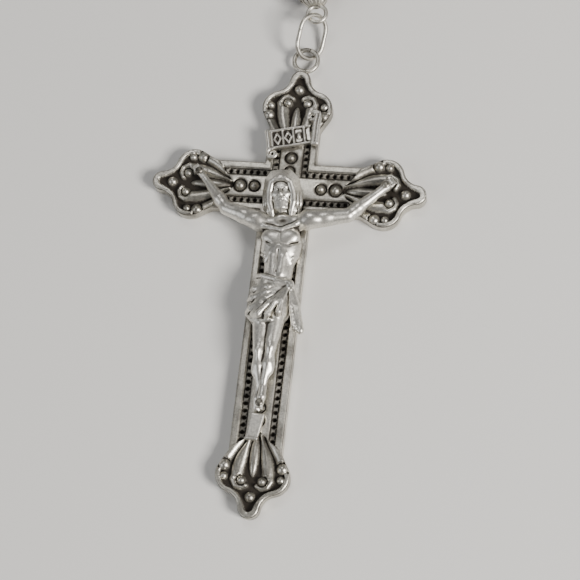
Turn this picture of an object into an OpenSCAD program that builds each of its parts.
// Five-decade rosary with a cast silver crucifix, laid flat.
// Origin: on the back of the cross where its two bars meet. +Y runs up the
// cross towards the chain, +X to its right, +Z out of its face.

/* [Crucifix] */
// Reach of each side arm, from the middle of the crossing to its tip
arm_reach = 13.6; // [12.5:0.1:17]
// Reach of the top arm
top_reach = 12.5; // [11:0.1:15]
// Reach of the bottom arm
foot_reach = 32.5; // [30:0.1:42]
// Half the width of both bars
bar_half = 2.5; // [2:0.1:3]
// Thickness of the plate at its raised rim
cross_t = 1.6; // [1.3:0.1:2.4]
// Depth of the sunk field inside the rim
field_sink = 0.4; // [0.2:0.05:0.6]
// Width of the raised rim
rim_w = 0.45; // [0.3:0.05:0.6]
// Half the width of the terminal lobes
lobe_half = 3.5; // [3.2:0.1:4.2]
// Length of a lobe, from the end of the bar to its tip
lobe_len = 6.2; // [5.8:0.1:7]

/* [Title scroll] */
// Length of the scroll along its slope
scroll_len = 4.6; // [4:0.1:5.4]
// Height of the scroll's panel
scroll_h = 2.3; // [1.8:0.1:2.8]
// Thickness of the scroll's sheet
scroll_t = 0.4; // [0.3:0.05:0.6]
// Slope of the scroll, in degrees
scroll_slope = 22; // [10:1:30]
// Radius of the rolled ends
roll_r = 0.45; // [0.35:0.05:0.6]

/* [Wire] */
// Radius of the wire of pins, links and rings
wire_r = 0.22; // [0.18:0.01:0.26]
// Centreline radius of the eyes at the ends of the pins
eye_r = 0.92; // [0.88:0.01:1.1]
// Centreline radius of the small round links
link_r = 0.95; // [0.9:0.01:1.15]
// Gap between wires that hang in each other
play = 0.06; // [0.04:0.01:0.12]
// Gap between a pin and the bore of its bead
bore_gap = 0.06; // [0.03:0.01:0.09]

/* [Bail and crucifix ring] */
// Centreline radius of the bail at the top of the cross
bail_r = 1.2; // [1.15:0.01:1.4]
// Half the width of the oval ring, on its centreline
ring_half = 1.5; // [1.4:0.05:1.6]
// Length of the oval ring, on its centreline
ring_len = 4.4; // [4.2:0.05:4.8]
// Roll of the oval ring about its own length, in degrees
ring_roll = 47; // [45:1:50]

/* [Beads] */
// Diameter of every bead
bead_d = 5; // [4:0.1:6.5]
// How far a fluted cap stands out past its bead
cap_out = 1; // [0.8:0.05:1.4]
// Radius of the cap's round end
cap_r = 1.4; // [1.2:0.05:1.7]
// Radius of the cap's skirt on the bead
skirt_r = 1.75; // [1.6:0.05:2.2]

/* [Centrepiece] */
// Radius of the medal to the middle of its rim
medal_r = 6.2; // [5:0.1:8]
// Radius of the medal's round rim wire
medal_rim = 0.5; // [0.4:0.05:0.8]
// Direction of the medal's two upper eyes, in degrees from its top
medal_fork = 55; // [40:1:60]
// Drop of the chain from the bead axis down to the medal's eyes
medal_drop = 0.6; // [0.4:0.05:0.75]

/* [Layout] */
// Heading of the first bead, in degrees from +X
first_heading = 103; // [95:1:110]
// Turn of the pendant chain from each bead to the next, in degrees
pendant_turn = -3; // [-5:0.5:2]
// Gap left at the open end of the loop, between the last two eyes
open_gap = 1.4; // [1:0.1:3]

/* [Hidden] */
$fn = 48;
slack = 0.01;
bead_z = bead_d / 2;
lobe_r = 1.75;
shoulder_r = 1.6;
tip_r = 1;
lobe_back = 4;
bail_centre = [0.2, top_reach + 1.43, cross_t / 2];
bail_wire = wire_r + 0.01;
ring_foot = bail_centre + [0.02, 0.27, 0.05];
ring_turn = 11;
ring_rise = asin((bead_z - 0.02 - ring_foot.z) / ring_len);
ring_dir = [-sin(-ring_turn) * cos(ring_rise), cos(ring_turn) * cos(ring_rise), sin(ring_rise)];
ring_head = ring_foot + ring_len * ring_dir;
first_eye = [ring_head.x + 0.03, ring_head.y + 0.13];

grip = eye_r - 2 * wire_r - play;
link_run = 2 * (grip + link_r);
hang = link_r - (eye_r - grip);
plain_reach = bead_z + 0.3 + eye_r + wire_r;
cap_eye = 0.7;
capped_reach = bead_z + cap_out + cap_eye;

medal_z = bead_z - medal_drop;
medal_eye = medal_r + medal_rim + eye_r - 0.15;
drop_tilt = asin(medal_drop / (2 * hang));
drop_run = 2 * eye_r + 2 * hang * cos(drop_tilt);

pendant_n = 5;
pendant_kinds = [1, 0, 0, 0, 1];
side_n = 27;
outer_n = 14;
turn_n = 2;

silver = "silver";
dark_silver = "dimgray";
dark_wood = "saddlebrown";

// ---------------------------------------------------------------- outline

// Points along an arc about c, from angle a to angle b
function arc(c, r, a, b, n) = [for (i = [0:n]) c + r * [cos(a + (b - a) * i / n), sin(a + (b - a) * i / n)]];
function angle_of(v) = atan2(v.y, v.x);

// One side of an arm's end: the taper, the round lobe, the hollow shoulder and
// the round tip, all moved inwards by inset. x is along the arm, y across it.
lobe_c = [-lobe_back, lobe_half - lobe_r];
tip_c = [-tip_r, 0];
lobe_to_tip = norm(tip_c - lobe_c);
reach_a = lobe_r + shoulder_r;
reach_b = tip_r + shoulder_r;
along = (reach_a * reach_a - reach_b * reach_b + lobe_to_tip * lobe_to_tip) / (2 * lobe_to_tip);
off = sqrt(reach_a * reach_a - along * along);
lobe_dir = (tip_c - lobe_c) / lobe_to_tip;
shoulder_c = lobe_c + along * lobe_dir + off * [-lobe_dir.y, lobe_dir.x];
bar_end = [-lobe_len, bar_half];
to_bar = bar_end - lobe_c;
taper = angle_of(to_bar) - acos(lobe_r / norm(to_bar));

function arm_side(inset) =
    let (meet_a = angle_of(shoulder_c - lobe_c),
         meet_b = angle_of(tip_c - shoulder_c),
         start_b = angle_of(lobe_c - shoulder_c),
         face = lobe_r - inset + lobe_c * [cos(taper), sin(taper)],
         edge = bar_half - inset,
         corner = [(face - edge * sin(taper)) / cos(taper), edge])
    concat([corner],
           arc(lobe_c, lobe_r - inset, taper, meet_a, 8),
           arc(shoulder_c, shoulder_r + inset, start_b, meet_b, 5),
           arc(tip_c, tip_r - inset, meet_b + 180, 0, 5));

function turned(p, a) = [p.x * cos(a) - p.y * sin(a), p.x * sin(a) + p.y * cos(a)];

function arm(reach, inset, a) =
    let (side = arm_side(inset), n = len(side))
    [for (i = [0:2 * n - 2])
        let (p = i < n ? [side[i].x, -side[i].y] : side[2 * n - 2 - i])
        turned(p + [reach, 0], a)];

reaches = [arm_reach, top_reach, arm_reach, foot_reach];
function outline(inset) =
    [for (k = [0:3]) each concat(arm(reaches[k], inset, 90 * k),
                                 [turned((bar_half - inset) * [1, 1], 90 * k)])];

// ---------------------------------------------------------------- solids

// A rounded limb from a to b, with radius ra at a and rb at b
module limb(a, b, ra, rb) {
    hull() {
        translate(a) sphere(r = ra, $fn = 20);
        translate(b) sphere(r = rb, $fn = 20);
    }
}

module round_ring(r, wire) {
    rotate_extrude() translate([r, 0]) circle(r = wire, $fn = 24);
}

// Oval ring in the XY plane with its length along Y
module oval_ring(half, length, wire) {
    straight = length / 2 - half;
    for (s = [0, 180])
        rotate([0, 0, s]) {
            translate([0, straight, 0])
                rotate_extrude(angle = 180) translate([half, 0]) circle(r = wire, $fn = 24);
            translate([half, straight, 0])
                rotate([90, 0, 0]) cylinder(h = 2 * straight, r = wire, $fn = 24);
        }
}

// Raised ornament of one terminal lobe: leaf, scroll beads and tip bead
module lobe_ornament(reach) {
    field = cross_t - field_sink;
    for (p = [[reach - 1.9, 0, 0.4], [reach - 3.3, 0.7, 0.42], [reach - 3.3, -0.7, 0.42],
              [reach - 4.3, 2.4, 0.6], [reach - 4.3, -2.4, 0.6]])
        translate([p.x, p.y, field]) sphere(r = p.z);
    translate([reach - 5.2, 0, field - slack])
        intersection() {
            translate([0, 2, 0]) cylinder(h = 0.3, r = 2.45);
            translate([0, -2, 0]) cylinder(h = 0.3, r = 2.45);
        }
}

module cross() {
    field = cross_t - field_sink;
    color(silver) {
        linear_extrude(field) polygon(outline(0));
        difference() {
            linear_extrude(cross_t) polygon(outline(0));
            translate([0, 0, field / 2]) linear_extrude(cross_t) polygon(outline(rim_w));
        }
        // raised middle band of both bars
        band = bar_half - 2 * rim_w - 0.5;
        translate([-band, lobe_len - foot_reach, field / 2])
            cube([2 * band, foot_reach + top_reach - 2 * lobe_len, field / 2 + field_sink - 0.1]);
        translate([lobe_len - arm_reach, -band, field / 2])
            cube([2 * (arm_reach - lobe_len), 2 * band, field / 2 + field_sink - 0.1]);
        for (k = [0:3]) rotate([0, 0, 90 * k]) lobe_ornament(reaches[k]);
        translate(bail_centre) round_ring(bail_r, bail_wire);
        // neck that the bail is cast on
        translate([bail_centre.x, top_reach - 0.6, cross_t / 2])
            rotate([-90, 0, 0]) cylinder(h = bail_centre.y - bail_r - top_reach + 0.6, r = 0.3);
    }
}

// Places on the figure, from the crossing, with the height of each above the back
head_at = [-0.1, -1.3, cross_t + 1.75];
neck_at = [0, -2.9, cross_t + 1.2];
shoulder_l = [-2.2, -4.3, cross_t + 1];
shoulder_r_at = [2.5, -3.7, cross_t + 1];
elbow_l = [-5.7, -2.8, cross_t + 0.8];
elbow_r = [6.5, -2.9, cross_t + 0.8];
hand_l = [-8.9, 1, cross_t + 0.6];
hand_r = [9.9, 0.5, cross_t + 0.6];
chest_at = [0.2, -5.6, cross_t + 0.8];
waist_at = [0.25, -9.2, cross_t + 0.7];
hip_at = [0.3, -12, cross_t + 0.8];
knee_at = [-0.2, -17.7, cross_t + 1.2];
ankle_at = [0.2, -21.3, cross_t + 0.75];

module corpus() {
    color(silver)
        intersection() {
            union() {
                translate(head_at) sphere(r = 1.25, $fn = 32);
                limb(head_at, neck_at, 0.8, 0.75);
                limb(neck_at, chest_at, 0.8, 1.3);
                limb(shoulder_l, chest_at, 0.9, 1.2);
                limb(shoulder_r_at, chest_at, 0.9, 1.25);
                limb(shoulder_l, elbow_l, 0.78, 0.6);
                limb(elbow_l, hand_l, 0.58, 0.42);
                limb(shoulder_r_at, elbow_r, 0.8, 0.62);
                limb(elbow_r, hand_r, 0.6, 0.44);
                for (s = [-1, 1]) {
                    limb(chest_at + [0.85 * s, 0, 0], waist_at + [0.6 * s, 0, 0], 1.3, 1.15);
                    limb(waist_at + [0.6 * s, 0, 0], hip_at + [0.8 * s, 0, 0], 1.17, 1.45);
                    limb(hip_at + [0.8 * s, 0, 0], knee_at + [0.45 * s, 0, 0], 1.47, 0.85);
                    limb(knee_at + [0.45 * s, 0, 0], ankle_at + [0.2 * s, 0, 0], 0.83, 0.5);
                }
                // hanging end of the cloth
                limb(hip_at + [1.7, 0.6, 0], [3, -14.5, cross_t + 0.7], 0.9, 0.55);
                limb(ankle_at, ankle_at + [-0.1, -0.9, -0.1], 0.62, 0.5);
            }
            translate([-arm_reach, -foot_reach, cross_t])
                cube([2 * arm_reach, foot_reach + top_reach, 10]);
        }
}

module foot_rest() {
    color(silver)
        translate([0, 0, cross_t])
            linear_extrude(0.45)
                polygon([[-0.75, -22.95], [0.6, -22.95], [0.15, -25.3], [-1.05, -25.3]]);
}

// Round-headed nail with its shank down into the plate
module nail(at, head_z) {
    translate([at.x, at.y, cross_t / 2]) cylinder(h = head_z - cross_t / 2, r = 0.18);
    translate([at.x, at.y, head_z - 0.12])
        intersection() {
            sphere(r = 0.38);
            cylinder(h = 1, r = 1);
        }
}

module hand_nails() {
    color(dark_silver) {
        nail(hand_l, hand_l.z + 0.42);
        nail(hand_r, hand_r.z + 0.44);
    }
}

module foot_nail() { color(dark_silver) nail(ankle_at + [-0.1, -0.75, 0], ankle_at.z + 0.45); }

scroll_c = [-0.25, 4.95];
scroll_half = [scroll_len / 2 * cos(scroll_slope), scroll_len / 2 * sin(scroll_slope)];

module title_scroll() {
    lift = scroll_h / 2;
    corner = [for (s = [[-1, -1], [1, -1], [1, 1], [-1, 1]])
        scroll_c + s.x * scroll_half + [0, s.y * lift]];
    color(silver) {
        translate([0, 0, cross_t]) linear_extrude(scroll_t) polygon(corner);
        // right end rolled up towards the top, left end rolled down
        translate([corner[1].x, corner[1].y, cross_t + roll_r])
            rotate([-90, 0, 0]) cylinder(h = scroll_h + 0.8, r = roll_r);
        translate([corner[3].x, corner[3].y, cross_t + roll_r])
            rotate([90, 0, 0]) cylinder(h = scroll_h + 1.1, r = roll_r);
    }
}

module title_pin() {
    color(dark_silver)
        translate([scroll_c.x, scroll_c.y, cross_t / 2])
            cylinder(h = cross_t / 2 + scroll_t / 2, r = 0.25);
}

module crucifix_ring() {
    color(silver)
        translate((ring_foot + ring_head) / 2)
            rotate([0, 0, -ring_turn])
                rotate([ring_rise, 0, 0])
                    rotate([0, ring_roll, 0])
                        oval_ring(ring_half, ring_len, wire_r);
}

// -------------------------------------------------------------- the chain

// Distance from the middle of a bead to the middle of its eye, capped or plain
function reach_of(kind) = kind == 1 ? capped_reach : plain_reach;
function way(a) = [cos(a), sin(a)];

// A laid bead is [middle, heading, kind, middle of the link before it, heading of that link]
function pendant(k, eye, a) =
    k == pendant_n ? [] :
    let (r = reach_of(pendant_kinds[k]),
         far = eye + 2 * r * way(a),
         b = a + pendant_turn,
         from = k == 0 ? eye : eye - link_run * way(a - pendant_turn / 2))
    concat([[eye + r * way(a), a, pendant_kinds[k], from + link_run / 2 * way(a - pendant_turn / 2),
             a - pendant_turn / 2, eye, far]],
           pendant(k + 1, far + link_run * way(a + pendant_turn / 2), b));

strand = pendant(0, first_eye, first_heading);
last = strand[pendant_n - 1];
medal_heading = last[1] + pendant_turn;
link5_heading = last[1] + pendant_turn / 2;
medal_bottom = last[6] + drop_run * way(link5_heading);
medal_c = medal_bottom + medal_eye * way(medal_heading);

// The loop is drawn in the medal's own frame, with y up the medal. It leaves
// the right eye on a wide round, turns back and returns on a smaller round.
function half_step(c, r) = asin(c / (2 * r));
function side_kind(k) = k == 10 || k == 21 ? 1 : 0;
function run_before(k) = k == 0 ? drop_run : link_run;
function step_sum(a, b, r) =
    a == b ? 0 :
    2 * half_step(run_before(a), r) + 2 * half_step(2 * reach_of(side_kind(a)), r) + step_sum(a + 1, b, r);

// Radius at which the beads of the turn come round by just half a circle
function turn_fit(lo, hi, n) =
    let (mid = (lo + hi) / 2)
    n == 0 ? mid :
    step_sum(outer_n, outer_n + turn_n, mid) > 180 ? turn_fit(mid, hi, n - 1) : turn_fit(lo, mid, n - 1);
turn_r = turn_fit(reach_of(1) * 1.05, 30, 40);

// Radius of the wide round at which the two ends of the loop just meet
eye_x = medal_eye * sin(medal_fork);
eye_y = medal_eye * cos(medal_fork);
end_x = (link_run + open_gap) / 2;
function miss(r) =
    asin(eye_x / r) + step_sum(0, outer_n, r)
    - asin(end_x / (r - 2 * turn_r)) - step_sum(outer_n + turn_n, side_n, r - 2 * turn_r);
function round_fit(lo, hi, n) =
    let (mid = (lo + hi) / 2)
    n == 0 ? mid : miss(mid) > 0 ? round_fit(lo, mid, n - 1) : round_fit(mid, hi, n - 1);
outer_r = round_fit(8 * bead_d, 20 * bead_d, 40);
function round_of(k) = k < outer_n ? outer_r : k < outer_n + turn_n ? turn_r : 2 * turn_r - outer_r;

function side(k, eye, a) =
    k == side_n ? [] :
    let (r = round_of(k),
         run = run_before(k),
         kind = side_kind(k),
         reach = reach_of(kind),
         la = a + half_step(run, r),
         near = eye + run * way(la),
         ba = a + 2 * half_step(run, r) + half_step(2 * reach, r),
         far = near + 2 * reach * way(ba))
    concat([[near + reach * way(ba), ba, kind, eye + run / 2 * way(la), la, near, far]],
           side(k + 1, far, ba + half_step(2 * reach, r)));
right_side = side(0, [eye_x, eye_y], asin(eye_x / outer_r));

// A round link standing upright on its heading, tilted where it drops to the medal
module link(at, heading, tilt = 0, z = bead_z) {
    translate([at.x, at.y, z])
        rotate([0, tilt, heading])
            rotate([90, 0, 0]) round_ring(link_r, wire_r);
}

// Straight pin with a flat round eye at each end
module pin(at, heading, kind) {
    reach = reach_of(kind);
    shank = reach - eye_r;
    translate([at.x, at.y, bead_z])
        rotate([0, 0, heading]) {
            rotate([0, 90, 0]) cylinder(h = 2 * shank, r = wire_r, center = true, $fn = 24);
            for (s = [-1, 1]) translate([s * reach, 0, 0]) round_ring(eye_r, wire_r);
        }
}

module bead(at, heading) {
    translate([at.x, at.y, bead_z])
        rotate([0, 0, heading])
            rotate([0, 90, 0])
                difference() {
                    sphere(r = bead_d / 2);
                    cylinder(h = 2 * bead_d, r = wire_r + bore_gap, center = true, $fn = 24);
                }
}

// Pair of caps: a round end standing on a skirt that lies on the bead
module caps(at, heading) {
    seat = bead_d / 2 + 0.03;
    tip = bead_d / 2 + cap_out;
    for (s = [0, 180])
        translate([at.x, at.y, bead_z])
            rotate([0, 0, heading + s])
                rotate([0, 90, 0])
                    difference() {
                        union() {
                            intersection() {
                                translate([0, 0, tip - cap_r]) sphere(r = cap_r);
                                cylinder(h = tip, r = cap_r);
                            }
                            intersection() {
                                sphere(r = seat + 0.3);
                                cylinder(h = tip, r = skirt_r);
                            }
                        }
                        sphere(r = seat);
                        cylinder(h = 2 * tip, r = wire_r + 0.02, $fn = 24);
                    }
}

// Everything on the left of the loop is the mirror image of the right
module on_medal(left = false) {
    translate([medal_c.x, medal_c.y, 0])
        rotate([0, 0, medal_heading - 90])
            mirror([left ? 1 : 0, 0, 0]) children();
}

module side_bead(k, left) {
    on_medal(left) bead(right_side[k][0], right_side[k][1]);
}

module side_link(k, left) {
    s = right_side[k];
    on_medal(left) {
        if (k == 0) link(s[3], s[4], -drop_tilt, bead_z - medal_drop / 2);
        else link(s[3], s[4]);
    }
}

// Link at the open end of the loop, standing just short of the eye it would close on
module open_link(left) {
    s = right_side[side_n - 1];
    on_medal(left) link(s[6] + (grip + link_r) * way(s[1]), s[1]);
}

module half_decade_beads(from, left) {
    color(dark_wood) for (k = [from:from + 4]) side_bead(k, left);
}

// The pins of five beads with the link before each. The link that starts a
// half decade belongs to it, and so does the one after it when ends is true.
module half_decade_chain(from, left, ends) {
    color(silver) {
        for (k = [from:from + 4]) {
            on_medal(left) pin(right_side[k][0], right_side[k][1], 0);
            side_link(k, left);
        }
        if (ends) side_link(from + 5, left);
    }
}

module last_half_decade_chain(from) {
    half_decade_chain(from, false, false);
    color(silver) open_link(false);
}

module loop_bead(k, left) { color(dark_wood) side_bead(k, left); }
module loop_caps(k, left) { color(silver) on_medal(left) caps(right_side[k][0], right_side[k][1]); }
module loop_pin(k, left) { color(silver) on_medal(left) pin(right_side[k][0], right_side[k][1], 1); }

module pendant_bead(k) { color(dark_wood) bead(strand[k][0], strand[k][1]); }
module pendant_caps(k) { color(silver) caps(strand[k][0], strand[k][1]); }
module pendant_pin(k) { color(silver) pin(strand[k][0], strand[k][1], strand[k][2]); }
module pendant_link(k) { color(silver) link(strand[k][3], strand[k][4]); }

module medal_link() {
    mid = last[6] + drop_run / 2 * way(link5_heading);
    color(silver) link(mid, link5_heading, drop_tilt, bead_z - medal_drop / 2);
}

// Domed medal with a wire rim, a raised rosette on its face and three eyes
module centrepiece() {
    dome_r = (medal_r * medal_r + medal_z * medal_z) / (2 * medal_z);
    color(silver)
        on_medal()
            translate([0, 0, medal_z]) {
                intersection() {
                    translate([0, 0, dome_r - medal_z]) sphere(r = dome_r);
                    translate([0, 0, medal_z - dome_r]) sphere(r = dome_r);
                }
                round_ring(medal_r, medal_rim);
                for (a = [-90, 90 - medal_fork, 90 + medal_fork])
                    rotate([0, 0, a]) translate([medal_eye, 0, 0]) round_ring(eye_r, wire_r);
                for (a = [0:60:300])
                    rotate([0, 0, a]) translate([1.5, 0, medal_z * 0.92]) sphere(r = 0.5);
            }
}

cross();
corpus();
title_scroll();
title_pin();
hand_nails();
foot_nail();
foot_rest();
crucifix_ring();
pendant_bead(0);  // our_father_1_bead
pendant_caps(0);  // our_father_1_caps
pendant_pin(0);  // our_father_1_pin
pendant_link(1);  // link_1
pendant_bead(1);  // hail_mary_1_bead
pendant_pin(1);  // hail_mary_1_pin
pendant_link(2);  // link_2
pendant_bead(2);  // hail_mary_2_bead
pendant_pin(2);  // hail_mary_2_pin
pendant_link(3);  // link_3
pendant_bead(3);  // hail_mary_3_bead
pendant_pin(3);  // hail_mary_3_pin
pendant_link(4);  // link_4
pendant_bead(4);  // our_father_2_bead
pendant_caps(4);  // our_father_2_caps
pendant_pin(4);  // our_father_2_pin
medal_link();  // link_5
centrepiece();
half_decade_beads(0, false);  // decade_1a_beads
half_decade_chain(0, false, false);  // decade_1a_chain
half_decade_beads(5, false);  // decade_1b_beads
half_decade_chain(5, false, true);  // decade_1b_chain
loop_bead(10, false);  // our_father_3_bead
loop_caps(10, false);  // our_father_3_caps
loop_pin(10, false);  // our_father_3_pin
half_decade_beads(11, false);  // decade_2a_beads
half_decade_chain(11, false, false);  // decade_2a_chain
half_decade_beads(16, false);  // decade_2b_beads
half_decade_chain(16, false, true);  // decade_2b_chain
loop_bead(21, false);  // our_father_4_bead
loop_caps(21, false);  // our_father_4_caps
loop_pin(21, false);  // our_father_4_pin
half_decade_beads(22, false);  // decade_3a_beads
last_half_decade_chain(22);  // decade_3a_chain
half_decade_beads(22, true);  // decade_3b_beads
half_decade_chain(22, true, false);  // decade_3b_chain
loop_bead(21, true);  // our_father_5_bead
loop_caps(21, true);  // our_father_5_caps
loop_pin(21, true);  // our_father_5_pin
half_decade_beads(16, true);  // decade_4a_beads
half_decade_chain(16, true, true);  // decade_4a_chain
half_decade_beads(11, true);  // decade_4b_beads
half_decade_chain(11, true, false);  // decade_4b_chain
loop_bead(10, true);  // our_father_6_bead
loop_caps(10, true);  // our_father_6_caps
loop_pin(10, true);  // our_father_6_pin
half_decade_beads(5, true);  // decade_5a_beads
half_decade_chain(5, true, true);  // decade_5a_chain
half_decade_beads(0, true);  // decade_5b_beads
half_decade_chain(0, true, false);  // decade_5b_chain
